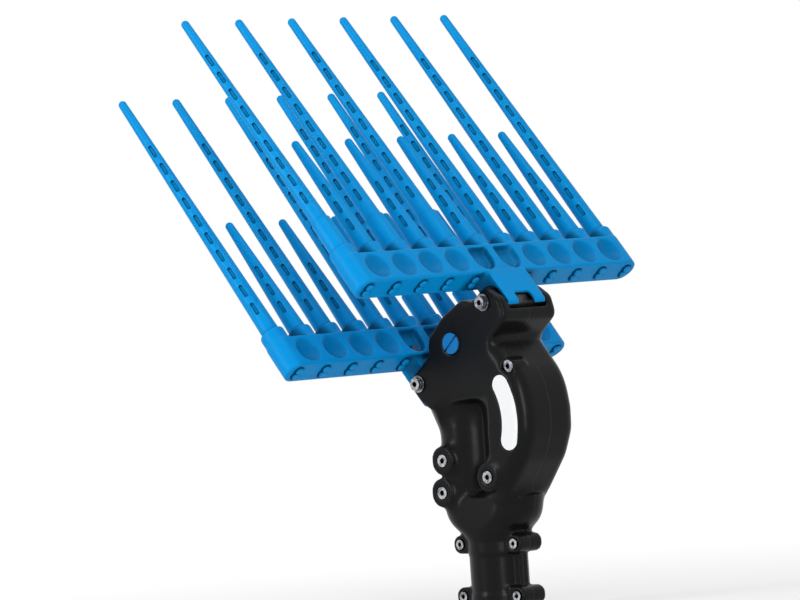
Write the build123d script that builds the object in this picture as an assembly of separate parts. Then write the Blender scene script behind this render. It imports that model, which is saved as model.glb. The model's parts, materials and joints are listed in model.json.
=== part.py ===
from build123d import *
import math
import os

# Electric olive harvester head: two tined combs that clap together on a motor head.
# Millimetres. +Z is up along the pole, +X runs along the combs, +Y is the way the tines lean.
# The origin is the centre of the pole socket's lower end.

# Head geometry
LEAN = 39.0
CENTRE_Y = 7.7
CENTRE_Z = 231.2
PIVOT_HALF_SPAN = 52.5
TOE_IN = 0.5
SWING = 7.0
RUN_GAP = 0.3
FIT_GAP = 0.05
HOLE_GAP = 0.2

# Combs
PITCH = 32.0
TINES = 11
BAR_THICK = 23.6
BAR_DEEP = 31.5
BAR_OUT = 2.9
BAR_END = 11.5
BAR_ROUND = 1.2
FRONT_SEAT = 20.4
REAR_SEAT = 25.0
COLLAR_R = 11.0
COLLAR_TOP = 44.0
COLLAR_ROUND = 1.5
POCKET_R = 12.0
POCKET_AT = 15.5
POCKET_DEPTH = 6.0
POCKET_TAPER = 18.0
DISH_R = 13.0
BRACKET_HALF = 23.0
BRACKET_PLATE = 3.0
BRACKET_DROP = 15.5
BRACKET_CHAMFER = 3.0
BRACKET_FOOT = 5.0
NOTCH_HALF = 9.5
NOTCH_TOP = 4.0

# Tines
LONG_TIP = 308.3
SHORT_TIP = 166.5
TINE_ROOT_R = 8.0
TINE_TIP_R = 3.6
SLEEVE_TOP = 76.0
SLEEVE_EXTRA = 1.2
SHANK_R = 3.6
SHANK_OFFSET = 3.2
SHANK_PROUD = 2.2
SHANK_ROUND = 1.6
TAIL_MOAT = 0.8
MOAT_DEEP = 1.2
DASH_LONG = 13.0
DASH_WIDE = 3.2
DASH_DEEP = 1.5
DASH_TURN = 36.0
DASH_STEP = 20.0
DASH_START = 62.0
DASH_END_CLEAR = 50.0

# Levers
HUB_R = 12.6
HUB_HALF = 22.0
AXLE_R = 5.0
BUSH_WALL = 2.0
BUSH_LONG = 14.0
PRONG_IN = 8.0
PRONG_OUT = 22.0
PRONG_THICK = 9.6
PRONG_LONG = 19.0
PRONG_GAP = 0.15
SECTOR_HALF = 6.0
CIRCLE_TEETH = 50
FRONT_TEETH = 3
REAR_TEETH = 4
ADDENDUM = 0.9
DEDENDUM = 1.2
PRESSURE_ANGLE = 20.0
BACKLASH = 0.3
SECTOR_MARGIN = 1.5
COMB_SCREW_R = 2.0
COMB_SCREW_HEAD_R = 3.5
COMB_SCREW_HEAD = 3.0
COMB_SCREW_AT = 9.0
COMB_SCREW_X = 16.0

# Housing
PLATE_HALF = 33.0
WALL = 3.0
EAR_R = 10.0
SWING_CLEAR = 21.2
CLEVIS_HALF = 24.0
EDGE_ROUND = 3.0
LIMB_Y = 23.0
LIMB_R = 25.4
LIMB_LOW = 94.0
LIMB_TOP = 188.0
LIMB_FLOOR = 92.0
FLARE_LOW = 156.0
FLARE_HIGH = 177.0
FLARE_FROM = 30.0
TAIL_TOP = 190.0
TAIL_FRONT = -28.5
TAIL_OVERLAP = 5.0
TAIL_ROUND = 13.0
TAIL_LEAN = 0.25
TAIL_LEAN_FROM = 125.0
GROOVE_X = 4.0
GROOVE_Y = 0.5
BOWL_TOP = 100.0
BOWL_FOOT = 64.0
NECK_R = 25.0
SOCKET_R = 20.0
SOCKET_DEEP = 75.0
NECK_TOP = 82.0
BAND_R = 25.8
BAND_HIGH = 17.0
CLAMP_SLIT = 0.6
FLANGE_HALF = 6.0
FLANGE_OUT = 28.5
LUG_Y = 31.0
LUG_R = 8.0
LUG_HALF = 14.0
LUG_LOW = 14.5
LUG_HIGH = 59.0
BOSS_R = 12.7
BOSS_HALF = 30.0
TALL_BOSS_HALF = 34.5
BOSS_CORE_R = 6.5
CABLE_R = 8.0
INLAY_Y = 6.4
INLAY_Z = 164.0
INLAY_R = 60.0
INLAY_FROM = 150.0
INLAY_TURN = 46.0
INLAY_WIDE = 17.0
INLAY_SUNK = 0.15
INLAY_DEEP = 0.8

# Fasteners
SCREW_R = 3.0
SCREW_HEAD_R = 5.2
SCREW_HEAD = 4.0
CLAMP_R = 2.5
CLAMP_HEAD_R = 4.25
CLAMP_HEAD = 5.0
CLAMP_SINK = 4.4
NUT_R = 4.6
NUT_HIGH = 4.0
WASHER_R = 7.2
WASHER_HIGH = 1.2
HEX_R = 2.6
HEX_DEEP = 2.4
PLUG_R = 9.0
PLUG_HIGH = 5.0
PLUG_PROUD = 0.6
PLUG_SLOT = 2.0
PLUG_SLOT_DEEP = 1.6
PLUG_SLOT_TURN = -43.0
SEAL_R = 0.9

# Drive
MOTOR_R = 22.1
MOTOR_HIGH = 154.0
MOTOR_SHELL = 4.0
MOTOR_FLOOR = 2.0
MOTOR_TAP = 18.4
MOTOR_SCREW_LONG = 7.5
CAP_HIGH = 8.0
STATOR_LOW = 101.0
STATOR_HIGH = 144.0
SLOT_HALF = 2.0
SLOT_BACK = 2.5
SLOT_LIP = 2.0
SLOT_STEP = 40
FLOOR_HOLE_R = 12.0
ROTOR_R = 9.0
STATOR_GAP = 0.5
SHAFT_R = 4.0
BEARING_R = 9.0
BEARING_HIGH = 5.0
CRANK_LOW = 158.0
CRANK_TOP = 164.0
CRANK_R = 12.0
CRANK_THROW = 2.7
PIN_R = 3.0
ROLLER_R = 5.0
ROLLER_LOW = 172.0
ROLLER_HIGH = 180.0
PIN_TOP = 181.0
FORK_GAP = 11.6
FORK_WALL = 3.5
FORK_LOW = 171.0
FORK_BRIDGE = 188.5
FORK_BRIDGE_HIGH = 5.0
FORK_HALF = 8.0
INLET_FLANGE = 1.5
CONTACT_R = 1.6
LEAD_R = 1.5
LEAD_BEND = 3.4
LEAD_HIGH = 87.0

# Larger than the whole part, for cutting blocks
FAR = 600.0

os.makedirs("parts", exist_ok=True)


def along(lean):
    """The way the tines point at a lean from upright."""
    angle = math.radians(lean)
    return Vector(0, math.sin(angle), math.cos(angle))


T_AXIS = along(LEAN)
B_AXIS = Vector(0, -T_AXIS.Z, T_AXIS.Y)
CENTRE = Vector(0, CENTRE_Y, CENTRE_Z)
FRONT_PIVOT = CENTRE + B_AXIS * PIVOT_HALF_SPAN
REAR_PIVOT = CENTRE - B_AXIS * PIVOT_HALF_SPAN

# In a comb's own frame, z runs to the tips and y points away from the other comb.
FRONT_COMB = Location(Plane(FRONT_PIVOT, x_dir=(-1, 0, 0), z_dir=along(LEAN + TOE_IN)))
REAR_COMB = Location(Plane(REAR_PIVOT, x_dir=(1, 0, 0), z_dir=along(LEAN - TOE_IN)))
FRONT_LEVER = Location(Plane(FRONT_PIVOT, x_dir=(-1, 0, 0), z_dir=T_AXIS))
REAR_LEVER = Location(Plane(REAR_PIVOT, x_dir=(1, 0, 0), z_dir=T_AXIS))


def save(name, shape):
    shape.label = name
    export_step(shape, f"parts/{name}.step")


def rod_x(radius, x_from, x_to, y=0, z=0):
    """A round bar that runs along X."""
    turned = Rot(0, 90, 0) * Cylinder(radius, x_to - x_from, align=(Align.CENTER, Align.CENTER, Align.MIN))
    return Pos(x_from, y, z) * turned


def rod_z(radius, z_from, z_to, x=0, y=0):
    """A round bar that runs along Z."""
    bar = Cylinder(radius, z_to - z_from, align=(Align.CENTER, Align.CENTER, Align.MIN))
    return Pos(x, y, z_from) * bar


def block(x, y, z):
    """A box from three (from, to) pairs."""
    size = [pair[1] - pair[0] for pair in (x, y, z)]
    return Pos(x[0], y[0], z[0]) * Box(*size, align=(Align.MIN, Align.MIN, Align.MIN))


def tine_x(index):
    return (index - (TINES + 1) / 2) * PITCH


def is_long(index):
    return index % 2 == 1


def has_sleeve(index):
    """Only the long tines of one half have the taller root sleeve."""
    return is_long(index) and index > (TINES + 1) / 2


# Tines

def tine_radius(high, tip):
    share = (high - COLLAR_TOP) / (tip - COLLAR_TOP)
    return TINE_ROOT_R + (TINE_TIP_R - TINE_ROOT_R) * share


def shank_outline(gap):
    """The two-lobed section of a tine's tail."""
    lobe = Circle(SHANK_R + gap)
    return Pos(0, SHANK_OFFSET) * lobe + Pos(0, -SHANK_OFFSET) * lobe


def tine(index, seat):
    """One tine in its comb's frame, from its two-lobed tail to its round tip."""
    tip = LONG_TIP if is_long(index) else SHORT_TIP
    end = tip - TINE_TIP_R
    blade = Pos(0, 0, COLLAR_TOP) * Cone(
        TINE_ROOT_R, TINE_TIP_R, end - COLLAR_TOP, align=(Align.CENTER, Align.CENTER, Align.MIN)
    )
    blade += Pos(0, 0, end) * Sphere(TINE_TIP_R)
    if has_sleeve(index):
        top_r = tine_radius(SLEEVE_TOP, tip) + SLEEVE_EXTRA
        blade += Pos(0, 0, COLLAR_TOP) * Cone(
            TINE_ROOT_R + SLEEVE_EXTRA,
            top_r,
            SLEEVE_TOP - COLLAR_TOP,
            align=(Align.CENTER, Align.CENTER, Align.MIN),
        )
    start = DASH_START + (SLEEVE_TOP - COLLAR_TOP if has_sleeve(index) else 0)
    count = int((tip - DASH_END_CLEAR - start) // DASH_STEP) + 1
    for number in range(count):
        middle = start + DASH_LONG / 2 + number * DASH_STEP
        depth_at = tine_radius(middle, tip) - DASH_DEEP
        for side in (-1, 1):
            slot = Plane.YZ * Rot(0, 0, 90) * SlotOverall(DASH_LONG, DASH_WIDE)
            cutter = Pos(side * depth_at, 0, middle) * extrude(slot, side * TINE_ROOT_R)
            blade -= Rot(0, 0, DASH_TURN) * cutter
    lobe = rod_z(SHANK_R, -SHANK_PROUD, COLLAR_TOP)
    lobe = fillet(lobe.faces().sort_by(Axis.Z)[0].edges(), SHANK_ROUND)
    whole = blade + Pos(0, SHANK_OFFSET, 0) * lobe + Pos(0, -SHANK_OFFSET, 0) * lobe
    return Pos(tine_x(index), BAR_OUT, seat) * whole


# Comb bar with collars, pockets and bracket

def bar_slab():
    long_half = tine_x(TINES) + BAR_END
    outline = RectangleRounded(2 * long_half, BAR_THICK, BAR_THICK / 2 - FIT_GAP)
    slab = extrude(outline, BAR_DEEP)
    return fillet(slab.faces().sort_by(Axis.Z)[0].edges(), BAR_ROUND)


def collar():
    ring = Pos(0, 0, BAR_DEEP) * Cylinder(
        COLLAR_R, COLLAR_TOP - BAR_DEEP, align=(Align.CENTER, Align.CENTER, Align.MIN)
    )
    return fillet(ring.faces().sort_by(Axis.Z)[-1].edges(), COLLAR_ROUND)


def dish():
    """A round hollow between two tines, cut into the face at y = 0."""
    ball = (DISH_R**2 + POCKET_DEPTH**2) / (2 * POCKET_DEPTH)
    return Pos(0, ball - POCKET_DEPTH, 0) * Sphere(ball)


def pocket(depth):
    """A deep scoop beside the bracket, round below and square above, cut into the face at y = 0."""
    above = BAR_DEEP - POCKET_AT - WALL
    outline = Circle(POCKET_R) + Pos(0, above / 2) * Rectangle(2 * POCKET_R, above)
    scoop = extrude(Plane.XZ * outline, depth, taper=POCKET_TAPER)
    return fillet(scoop.faces().sort_by(Axis.Y)[0].edges(), depth / 3)


def comb_bar(seat):
    bar = bar_slab()
    for index in range(1, TINES + 1):
        bar += Pos(tine_x(index), 0, 0) * collar()
    for index in range(1, TINES):
        middle = tine_x(index) + PITCH / 2
        scoop = pocket(POCKET_DEPTH) if abs(middle) < PITCH else dish()
        place = Pos(middle, BAR_THICK / 2, POCKET_AT)
        bar -= place * scoop
        bar -= Rot(0, 0, 180) * place * scoop
    hole = Pos(0, 0, -BAR_DEEP) * extrude(shank_outline(HOLE_GAP), COLLAR_TOP + 2 * BAR_DEEP)
    hole += Pos(0, 0, -BAR_DEEP) * extrude(shank_outline(TAIL_MOAT), BAR_DEEP + MOAT_DEEP)
    bar = Pos(0, BAR_OUT, seat) * bar

    # Saddle that carries the bar on the lever hub
    outer = BAR_OUT + BAR_THICK / 2 + BRACKET_PLATE / 2
    saddle = block((-BRACKET_HALF, BRACKET_HALF), (-BRACKET_FOOT, outer), (-BRACKET_DROP, seat + BAR_ROUND))
    low_edges = saddle.edges().filter_by(Axis.X).group_by(Axis.Z)[0]
    saddle = chamfer(low_edges.sort_by(Axis.Y)[-1], BRACKET_CHAMFER)
    inside = HUB_R + RUN_GAP
    saddle -= rod_x(inside, -BRACKET_HALF - 1, BRACKET_HALF + 1)
    saddle -= block((-BRACKET_HALF - 1, BRACKET_HALF + 1), (-2 * inside, inside), (-2 * BRACKET_DROP, 0))
    saddle -= block((-NOTCH_HALF, NOTCH_HALF), (0, 2 * outer), (-2 * BRACKET_DROP, -NOTCH_TOP))
    bar += saddle

    # Two sockets for the lever's prongs, with a screw through each
    for side in (-1, 1):
        x_pair = sorted((side * (PRONG_IN - PRONG_GAP), side * (PRONG_OUT + PRONG_GAP)))
        half = PRONG_THICK / 2 + PRONG_GAP
        bar -= block(x_pair, (BAR_OUT - half, BAR_OUT + half), (0, seat + PRONG_LONG + PRONG_GAP))
        bar -= Pos(side * COMB_SCREW_X, BAR_OUT, seat + COMB_SCREW_AT) * comb_screw(HOLE_GAP)
    for index in range(1, TINES + 1):
        bar -= Pos(tine_x(index), BAR_OUT, seat) * hole
    return bar


def comb_screw(gap=0.0):
    """A cap screw that goes in from the comb's inner face, its head sunk in the pocket's floor."""
    head_low = -PRONG_THICK / 2 - PRONG_GAP
    shank = Plane.XZ * Circle(COMB_SCREW_R + gap)
    screw = extrude(shank, -head_low + PRONG_THICK / 2 - 1, both=True)
    screw &= block((-FAR, FAR), (head_low - COMB_SCREW_HEAD, PRONG_THICK / 2 - 1 + gap), (-FAR, FAR))
    head = Pos(0, head_low, 0) * extrude(Plane.XZ * Circle(COMB_SCREW_HEAD_R + gap), COMB_SCREW_HEAD + gap)
    return screw + head


def comb_screws(seat):
    pair = [Pos(side * COMB_SCREW_X, BAR_OUT, seat + COMB_SCREW_AT) * comb_screw() for side in (-1, 1)]
    return Compound(children=pair)


# Levers with meshing toothed sectors

def sector_teeth(teeth):
    """Tooth angles of one sector, in degrees from the line between the pivots."""
    step = 360 / CIRCLE_TEETH
    return [(number - (teeth - 1) / 2) * step for number in range(teeth)]


def polar(radius, side, angle):
    """A (y, z) point at a radius towards the other lever, and to one side, turned by an angle."""
    turn = math.radians(angle)
    y = -radius * math.cos(turn) + side * math.sin(turn)
    z = radius * math.sin(turn) + side * math.cos(turn)
    return (y, z)


def fan(radius, edge):
    """A pie slice towards the other lever, half as wide as the edge angle on each side."""
    reach = radius / math.cos(math.radians(edge))
    slice_face = make_face(Polyline((0, 0), polar(reach, 0, -edge), polar(reach, 0, edge), close=True))
    return slice_face & Circle(radius)


def sector_edge(teeth):
    return sector_teeth(teeth)[-1] + 90 / CIRCLE_TEETH


def sector(teeth):
    module = 2 * PIVOT_HALF_SPAN / CIRCLE_TEETH
    half = (math.pi * module / 2 - BACKLASH) / 2
    slope = math.tan(math.radians(PRESSURE_ANGLE))
    root = PIVOT_HALF_SPAN - DEDENDUM * module
    tip = PIVOT_HALF_SPAN + ADDENDUM * module
    wide = half + DEDENDUM * module * slope
    narrow = half - ADDENDUM * module * slope
    face = fan(root, sector_edge(teeth))
    for angle in sector_teeth(teeth):
        corners = [
            polar(root - module, wide, angle),
            polar(root, wide, angle),
            polar(tip, narrow, angle),
            polar(tip, -narrow, angle),
            polar(root, -wide, angle),
            polar(root - module, -wide, angle),
        ]
        face += make_face(Polyline(*corners, close=True))
    return extrude(Plane.YZ * face, SECTOR_HALF, both=True)


def sector_room(teeth):
    """The space that a sector sweeps, with a margin."""
    module = 2 * PIVOT_HALF_SPAN / CIRCLE_TEETH
    radius = PIVOT_HALF_SPAN + ADDENDUM * module + SECTOR_MARGIN
    face = fan(radius, sector_edge(teeth) + SWING + SECTOR_MARGIN)
    return extrude(Plane.YZ * face, SECTOR_HALF + SECTOR_MARGIN, both=True)


def prongs(seat):
    """The two fingers that go into the comb bar, with their screw holes."""
    pair = None
    half = PRONG_THICK / 2
    for side in (-1, 1):
        x_pair = sorted((side * PRONG_IN, side * PRONG_OUT))
        finger = block(x_pair, (BAR_OUT - half, BAR_OUT + half), (0, seat + PRONG_LONG))
        finger -= Pos(side * COMB_SCREW_X, BAR_OUT, seat + COMB_SCREW_AT) * comb_screw()
        pair = finger if pair is None else pair + finger
    return pair


def drive_fork():
    """The rear lever's fork round the crank roller."""
    low, high = FORK_BRIDGE, FORK_BRIDGE + FORK_BRIDGE_HIGH
    outer = FORK_GAP + FORK_WALL
    x_pair = (-FORK_HALF, FORK_HALF)
    fork = block(x_pair, (LIMB_Y - outer, REAR_PIVOT.Y), (low, high))
    for side in (-1, 1):
        y_pair = sorted((LIMB_Y + side * FORK_GAP, LIMB_Y + side * outer))
        fork += block(x_pair, y_pair, (FORK_LOW, high))
    return fork


def lever(lever_place, comb_place, seat, teeth, extra=None):
    whole = lever_place * (rod_x(HUB_R, -HUB_HALF, HUB_HALF) + sector(teeth))
    whole += comb_place * prongs(seat)
    if extra is not None:
        whole += extra
    bore = rod_x(AXLE_R + RUN_GAP, -HUB_HALF - 1, HUB_HALF + 1)
    seat_r = AXLE_R + BUSH_WALL
    for side in (-1, 1):
        ends = sorted((side * (HUB_HALF - BUSH_LONG), side * (HUB_HALF + 1)))
        bore += rod_x(seat_r, *ends)
    return whole - lever_place * bore


def lever_bushes(place):
    """A flanged bush in each end of a lever's hub, which fills the gap to the housing ear."""
    pair = []
    flange_end = CLEVIS_HALF - RUN_GAP
    for side in (-1, 1):
        sleeve = rod_x(AXLE_R + BUSH_WALL, *sorted((side * (HUB_HALF - BUSH_LONG), side * HUB_HALF)))
        sleeve += rod_x(AXLE_R + 2 * BUSH_WALL, *sorted((side * HUB_HALF, side * flange_end)))
        pair.append(place * (sleeve - rod_x(AXLE_R + RUN_GAP, -PLATE_HALF, PLATE_HALF)))
    return Compound(children=pair)


# Fasteners

def cap_screw(radius, head_r, head, long):
    """A socket screw along +X, its head's seat at x = 0 and its hex recess facing -X."""
    screw = rod_x(radius, 0, long) + rod_x(head_r, -head, 0)
    recess = extrude(Plane.YZ * RegularPolygon(HEX_R * head_r / SCREW_HEAD_R, 6), HEX_DEEP)
    return screw - Pos(-head, 0, 0) * recess


def mirrored(shape):
    """The same thing on the +X side."""
    return Rot(0, 0, 180) * shape


def place_x(shape, x, y, z):
    """Puts a thing that points along +X at a place on the -X side, or turned on the +X side."""
    return Pos(x, y, z) * (shape if x < 0 else mirrored(shape))


PIVOTS = [(FRONT_PIVOT.Y, FRONT_PIVOT.Z), (REAR_PIVOT.Y, REAR_PIVOT.Z)]
AXLE_HALF = PLATE_HALF
AXLE_BORE = 14.0


def axle(y, z):
    pin = rod_x(AXLE_R, -AXLE_HALF, AXLE_HALF)
    for side in (-1, 1):
        pin -= rod_x(SCREW_R, *sorted((side * (AXLE_HALF - AXLE_BORE), side * AXLE_HALF)))
    return Pos(0, y, z) * pin


def pivot_screws():
    screw = cap_screw(SCREW_R, SCREW_HEAD_R, SCREW_HEAD, AXLE_BORE)
    seat = PLATE_HALF + WASHER_HIGH
    return Compound(children=[place_x(screw, side * seat, y, z) for y, z in PIVOTS for side in (-1, 1)])


def pivot_washers():
    ring = rod_x(WASHER_R, -WASHER_HIGH, 0) - rod_x(SCREW_R + HOLE_GAP, -WASHER_HIGH, 0)
    return Compound(
        children=[place_x(ring, side * PLATE_HALF, y, z) for y, z in PIVOTS for side in (-1, 1)]
    )


# Housing, split down the middle at x = 0

# Front edge of the side plates, as (towards the tips, towards the front comb, corner radius)
HEAD_FRONT = [
    (EAR_R, PIVOT_HALF_SPAN + EAR_R, EAR_R),
    (EAR_R, 42, 6),
    (20, 33, 6),
    (24, 6, 30),
    (21, -18, 10),
    (EAR_R, -29, 6),
    (EAR_R, -PIVOT_HALF_SPAN - EAR_R, EAR_R),
    (-12, -PIVOT_HALF_SPAN - EAR_R, 8),
]
# Back edge of the side plates, as (y, z, corner radius), from the limb upwards
HEAD_BACK = [
    (36, 174, 8),
    (14, 181, 10),
    (-28, 183, 4),
    (-36, 200, 6),
    (-38, 233, 8),
    (-57, 250, 8),
    (-52, 267, 10),
]
# Back edge of the deep body under the side plates, as (y, z, corner radius), from its foot upwards
TAIL_BACK = [
    (-36, 95, 0),
    (-62, 130, 40),
    (-71, 152, 30),
    (-71.5, 172, 30),
    (-66.6, 199.5, 60),
    (-40.6, 232, 0),
]
# Bowl between the pole socket and the body, as (z, half x, middle of the front end, middle of the back end)
BOWL = [
    (BOWL_FOOT, BAND_R + 0.5, 1, -1),
    (70, 27, 6, -4),
    (77, 27.5, 14, -12),
    (84, 27.2, 19, -17),
    (92, 26.6, 22, -20),
    (BOWL_TOP, LIMB_R, LIMB_Y, -24),
]
# Screws that hold the two halves, as (y, z, half width at the head, boss radius, boss end)
SHELL_SCREWS = [
    (-53.0, 209.5, 29.5, BOSS_CORE_R, -12.0),
    (-25.2, 116.9, TALL_BOSS_HALF, BOSS_R, TALL_BOSS_HALF),
]
# Short screws from each side into the motor case, as (y, z)
MOTOR_SCREWS = [(30.2, 131.8), (32.8, 104.5)]
LUGS = [(side * LUG_Y, high) for side in (-1, 1) for high in (LUG_LOW, LUG_HIGH)]


def head_face():
    front = [CENTRE + T_AXIS * t + B_AXIS * b for t, b, _ in HEAD_FRONT]
    points = [(point.Y, point.Z) for point in front]
    points += [(y, z) for y, z, _ in HEAD_BACK]
    radii = [corner[2] for corner in HEAD_FRONT + HEAD_BACK]
    return make_face(FilletPolyline(*points, radius=radii, close=True))


def tail_face():
    corners = [(y, z) for y, z, _ in TAIL_BACK]
    back = FilletPolyline(*corners, radius=[corner[2] for corner in TAIL_BACK[1:-1]])
    foot, top = corners[0], corners[-1]
    middle = TAIL_FRONT / 2
    front = Polyline(
        top, (middle, top[1]), (middle, TAIL_TOP), (TAIL_FRONT, TAIL_TOP), (TAIL_FRONT, foot[1]), foot
    )
    return make_face(back.edges() + front.edges())


def tail(inset):
    """The deep body behind the limb, as wide as the side plates, with a groove down each side."""
    face = offset(tail_face(), -inset) if inset else tail_face()
    half = PLATE_HALF - inset
    body = extrude(Plane.YZ * face, half, both=True)
    foot_y, foot_z, _ = TAIL_BACK[0]
    rim = [edge for edge in body.faces().filter_by(Axis.X).edges() if edge.center().Y < foot_y]
    body = fillet(rim, TAIL_ROUND - inset)

    # Wedge that joins the limb, its sides sloping in to the groove
    apex = GROOVE_Y - inset * math.sqrt(2)
    left = [(-GROOVE_X, apex), (-half, apex - half + GROOVE_X), (-half, TAIL_FRONT - TAIL_OVERLAP)]
    right = [(-x, y) for x, y in reversed(left)]
    start = foot_z + inset
    wedge = make_face(Polyline(*left, *right, close=True))
    body += extrude(Plane.XY.offset(start) * wedge, TAIL_TOP - start)

    # The sides lean in towards the foot
    lean = TAIL_LEAN * (TAIL_LEAN_FROM - foot_z)
    for side in (-1, 1):
        near, far = side * half, side * 2 * half
        high_points = [(near, TAIL_LEAN_FROM), (far, TAIL_LEAN_FROM)]
        low_points = [(far, foot_z), (near - side * lean, foot_z)]
        slope = make_face(Polyline(*high_points, *low_points, close=True))
        body -= extrude(Plane.XZ * slope, FAR, both=True)
    return body


def inlay_room(gap):
    """A banana-shaped prism through the left side."""
    middle = CenterArc((INLAY_Y, INLAY_Z), INLAY_R, INLAY_FROM, INLAY_TURN)
    outline = SlotArc(middle, INLAY_WIDE + 2 * gap)
    return Pos(-PLATE_HALF, 0, 0) * extrude(Plane.YZ * outline, 2 * WALL, both=True)


def side_inlay():
    """A thin plain inlay that follows the left side's curve."""
    return (inlay_room(0) & tail(INLAY_SUNK)) - tail(INLAY_DEEP)


def bowl(inset):
    sections = []
    for z, half, front, back in BOWL:
        outline = Rot(0, 0, 90) * SlotCenterToCenter(front - back, 2 * (half - inset))
        sections.append(Plane.XY.offset(z) * Pos(0, (front + back) / 2) * outline)
    return loft(sections)


def limb():
    """The motor's upright tube, with a flare under the side plates at the front."""
    tube = rod_z(LIMB_R, LIMB_LOW, LIMB_TOP, y=LIMB_Y)
    flare = Pos(0, LIMB_Y, FLARE_LOW) * Cone(
        LIMB_R, PLATE_HALF, FLARE_HIGH - FLARE_LOW, align=(Align.CENTER, Align.CENTER, Align.MIN)
    )
    return tube + (flare & block((-FAR, FAR), (FLARE_FROM, FAR), (FLARE_LOW, FLARE_HIGH)))


def neck():
    """The clamp tube, with bands, edge flanges and lugs."""
    tube = rod_z(NECK_R, 0, BOWL_FOOT + WALL)
    tube += rod_z(BAND_R, 0, BAND_HIGH)
    tube += rod_z(BAND_R, LUG_HIGH - LUG_R, LUG_HIGH + LUG_R)
    tube += block((-FLANGE_HALF, FLANGE_HALF), (-FLANGE_OUT, FLANGE_OUT), (0, LUG_HIGH))
    for y, z in LUGS:
        tube += rod_x(LUG_R, -LUG_HALF, LUG_HALF, y, z)
        tube += block((-LUG_HALF, LUG_HALF), sorted((0, y)), (z - LUG_R, z + LUG_R))
    return tube


def housing():
    face = head_face()
    plate = extrude(Plane.YZ * face, PLATE_HALF, both=True)
    plate = fillet(plate.faces().filter_by(Axis.X).edges(), EDGE_ROUND)
    outer = plate + limb() + tail(0) + bowl(0) + neck()
    for y, z in MOTOR_SCREWS:
        outer += rod_x(BOSS_R, -BOSS_HALF, BOSS_HALF, y, z)
    for y, z, half, radius, end in SHELL_SCREWS:
        outer += rod_x(radius, -half, end, y, z)

    inner = extrude(Plane.YZ * offset(face, -WALL), PLATE_HALF - WALL, both=True)
    inner += rod_z(LIMB_R - WALL, LIMB_FLOOR, LIMB_TOP, y=LIMB_Y) + tail(WALL)
    inner += bowl(WALL) & block((-FAR, FAR), (-FAR, FAR), (NECK_TOP, BOWL_TOP - WALL))
    shell = outer - inner

    shell += rod_z(LIMB_R - WALL / 2, LIMB_FLOOR - WALL, LIMB_FLOOR, y=LIMB_Y)
    shell -= rod_z(FLOOR_HOLE_R, LIMB_FLOOR - 2 * WALL, LIMB_FLOOR + WALL, y=LIMB_Y)
    shell -= FRONT_LEVER * sector_room(FRONT_TEETH)
    shell -= REAR_LEVER * sector_room(REAR_TEETH)
    for y, z in PIVOTS:
        shell += rod_x(EAR_R, -PLATE_HALF + EDGE_ROUND, PLATE_HALF - EDGE_ROUND, y, z)
        shell -= rod_x(SWING_CLEAR, -CLEVIS_HALF, CLEVIS_HALF, y, z)
        shell -= rod_x(AXLE_R + FIT_GAP, -PLATE_HALF - 1, PLATE_HALF + 1, y, z)
    for y, z, half, _, _ in SHELL_SCREWS:
        shell += rod_x(BOSS_CORE_R, -half + WALL, half - WALL, y, z) & outer
        shell -= rod_x(SCREW_R + HOLE_GAP, -half, 0, y, z)
        shell -= rod_x(SCREW_R, 0, half - WALL, y, z)
        shell -= rod_x(SCREW_HEAD_R + HOLE_GAP, -FAR, -half + SCREW_HEAD, y, z)
    for y, z in MOTOR_SCREWS:
        shell -= rod_x(SCREW_R + HOLE_GAP, -BOSS_HALF, BOSS_HALF, y, z)
        for side in (-1, 1):
            ends = sorted((side * BOSS_HALF, side * (BOSS_HALF - SCREW_HEAD)))
            shell -= rod_x(SCREW_HEAD_R + HOLE_GAP, *ends, y, z)

    shell -= rod_z(SOCKET_R, -1, SOCKET_DEEP)
    shell -= rod_z(CABLE_R, SOCKET_DEEP - 1, NECK_TOP + WALL)
    shell -= block((-CLAMP_SLIT, CLAMP_SLIT), (-2 * LUG_Y, 2 * LUG_Y), (-1, SOCKET_DEEP - WALL))
    for y, z in LUGS:
        shell -= rod_x(CLAMP_R + HOLE_GAP, -LUG_HALF, LUG_HALF, y, z)
        shell -= rod_x(CLAMP_HEAD_R + HOLE_GAP, -LUG_HALF, -LUG_HALF + CLAMP_SINK, y, z)
        nut_room = extrude(Plane.YZ * RegularPolygon(NUT_R + HOLE_GAP, 6), NUT_HIGH)
        shell -= Pos(LUG_HALF - NUT_HIGH, y, z) * nut_room
    shell -= rod_x(PLUG_R + HOLE_GAP, -PLATE_HALF - 1, 0, CENTRE_Y, CENTRE_Z)
    return shell - (inlay_room(HOLE_GAP) - tail(INLAY_DEEP))


def shell_half(shell, side):
    whole = shell & block(sorted((0, side * FAR)), (-FAR, FAR), (-FAR, FAR))
    return max(whole.solids(), key=lambda solid: solid.volume)


def shell_screws():
    screws = []
    for y, z, half, _, _ in SHELL_SCREWS:
        long = 2 * half - SCREW_HEAD - 2 * WALL
        screw = cap_screw(SCREW_R, SCREW_HEAD_R, SCREW_HEAD, long)
        screws.append(Pos(-half + SCREW_HEAD, y, z) * screw)
    return Compound(children=screws)


def motor_screws():
    screw = cap_screw(SCREW_R, SCREW_HEAD_R, SCREW_HEAD, MOTOR_SCREW_LONG)
    seat = BOSS_HALF - SCREW_HEAD
    return Compound(
        children=[place_x(screw, side * seat, y, z) for y, z in MOTOR_SCREWS for side in (-1, 1)]
    )


def clamp_screws():
    screw = cap_screw(CLAMP_R, CLAMP_HEAD_R, CLAMP_HEAD, 2 * LUG_HALF - CLAMP_SINK)
    return Compound(children=[Pos(-LUG_HALF + CLAMP_SINK, y, z) * screw for y, z in LUGS])


def clamp_nuts():
    nut = extrude(Plane.YZ * (RegularPolygon(NUT_R, 6) - Circle(CLAMP_R)), NUT_HIGH)
    return Compound(children=[Pos(LUG_HALF - NUT_HIGH, y, z) * nut for y, z in LUGS])


# Grease plug on the left plate

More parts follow.
